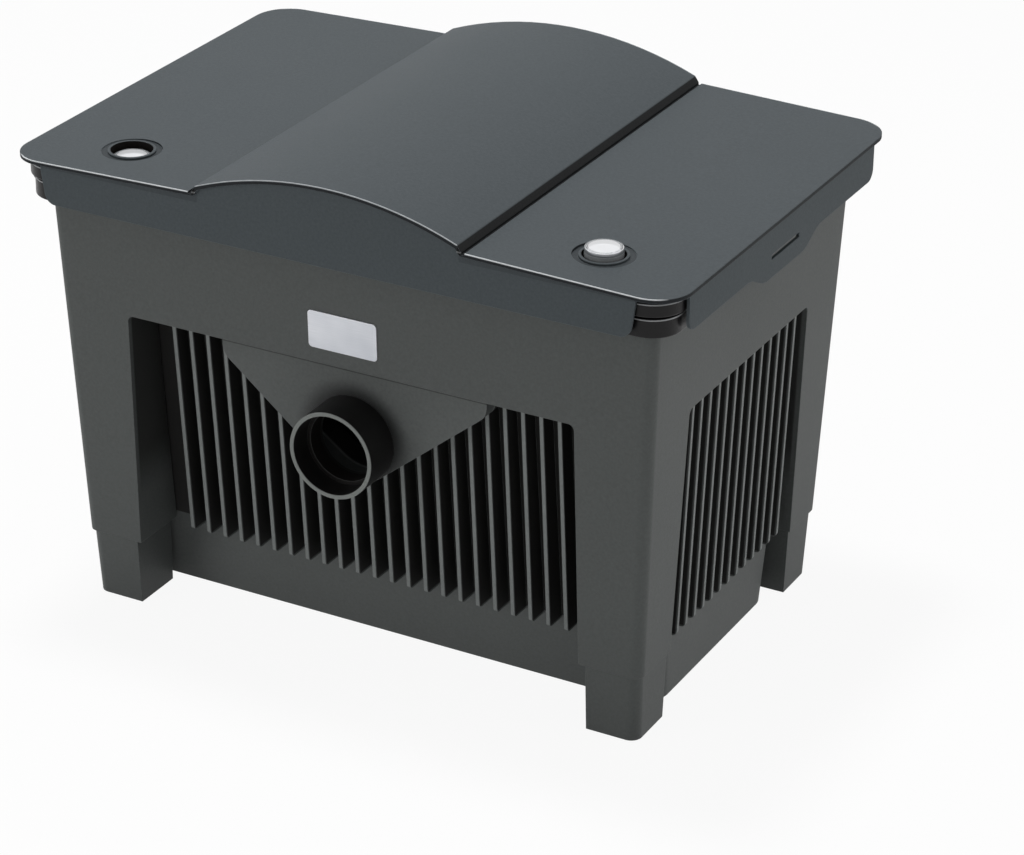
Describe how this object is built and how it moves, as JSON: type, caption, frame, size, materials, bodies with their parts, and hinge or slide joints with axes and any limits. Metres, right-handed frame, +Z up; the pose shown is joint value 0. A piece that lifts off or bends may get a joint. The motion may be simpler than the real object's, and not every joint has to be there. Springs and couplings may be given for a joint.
{
  "type": "box-type pond filter",
  "caption": "Box pond filter: finned tub in a legged outer frame under a domed lift-off lid, with lid gauges, round outlet, rear inlet, drain cap and squeezable foam cartridges.",
  "frame": {"origin": "on the floor, in the middle of the footprint", "axes": "+Z up, -Y to the front with the outlet pipe, +X to the right seen from the front"},
  "size_m": [0.555, 0.382, 0.408],
  "materials": {
    "casing_plastic": "moulded plastic, fine texture, satin",
    "lid_plastic": "moulded plastic, fine texture, satin",
    "tub_plastic": "moulded plastic, fine texture",
    "pipe_plastic": "extruded black plastic, semi-gloss",
    "black_plastic": "moulded black plastic",
    "rubber_black": "moulded rubber",
    "foam_blue": "open-pore coarse foam",
    "foam_red": "open-pore fine foam",
    "handle_red": "moulded plastic",
    "clear_plastic": "clear polycarbonate",
    "dial_white": "printed white dial, plain",
    "gauge_grey": "moulded grey plastic, glossy",
    "float_white": "moulded white plastic",
    "plate_silver": "thin brushed plate, bare",
    "perforated_grey": "moulded plastic"
  },
  "bodies": {
    "chassis": {"badge_plate": "plate_silver", "clean_water_partition": "perforated_grey", "collector_floor": "perforated_grey", "drain_fitting": "black_plastic", "drain_lock_nut": "black_plastic", "drain_seal": "rubber_black", "foam_coarse_left": "foam_blue", "foam_coarse_right": "foam_blue", "foam_fine_left": "foam_red", "foam_fine_right": "foam_red", "hose_adapter": "black_plastic", "hose_gasket": "rubber_black", "inlet_baffle": "black_plastic", "inlet_fitting": "black_plastic", "inlet_lock_nut": "black_plastic", "inlet_seal": "rubber_black", "outer_frame": "casing_plastic", "outlet_pipe": "pipe_plastic", "outlet_seal": "rubber_black", "retainer_tube_left": "perforated_grey", "retainer_tube_right": "perforated_grey", "tub": "tub_plastic"},
    "lid": {"lid": "lid_plastic", "gauge_well_left": "black_plastic", "gauge_well_right": "black_plastic"},
    "indicator": {"indicator_head": "gauge_grey", "indicator_lens": "clear_plastic", "indicator_dial": "dial_white", "indicator_stem": "black_plastic", "indicator_float": "float_white"},
    "thermometer": {"thermometer_head": "gauge_grey", "thermometer_lens": "clear_plastic", "thermometer_dial": "dial_white", "thermometer_probe": "black_plastic"},
    "press_left": {"press_plate_left": "perforated_grey", "press_handle_left": "handle_red"},
    "press_right": {"press_plate_right": "perforated_grey", "press_handle_right": "handle_red"},
    "union_nut": {"hose_union_nut": "black_plastic"},
    "drain_cap": {"drain_cap": "black_plastic", "drain_cap_seal": "rubber_black"}
  },
  "joints": [
    {"name": "lid_lift", "type": "slide", "parent": "chassis", "child": "lid", "axis": [0, 0, 1], "range_m": [0, 0.12]},
    {"name": "indicator_rise", "type": "slide", "parent": "lid", "child": "indicator", "axis": [0, 0, 1], "range_m": [0, 0.0106]},
    {"name": "thermometer_lift", "type": "slide", "parent": "lid", "child": "thermometer", "axis": [0, 0, 1], "range_m": [0, 0.08]},
    {"name": "press_left_down", "type": "slide", "parent": "chassis", "child": "press_left", "axis": [0, 0, -1], "range_m": [0, 0.06], "stiffness_N_per_m": 1500, "springref_m": -0.004, "deforming": ["foam_coarse_left", "foam_fine_left"]},
    {"name": "press_right_down", "type": "slide", "parent": "chassis", "child": "press_right", "axis": [0, 0, -1], "range_m": [0, 0.06], "stiffness_N_per_m": 1500, "springref_m": -0.004, "deforming": ["foam_coarse_right", "foam_fine_right"]},
    {"name": "union_nut_turn", "type": "hinge", "parent": "chassis", "child": "union_nut", "pos_m": [0, 0.15, 0.2], "axis": [0, 1, 0], "continuous": true},
    {"name": "drain_cap_turn", "type": "hinge", "parent": "chassis", "child": "drain_cap", "pos_m": [-0.12, 0.123, 0.022], "axis": [0, 1, 0], "continuous": true}
  ]
}
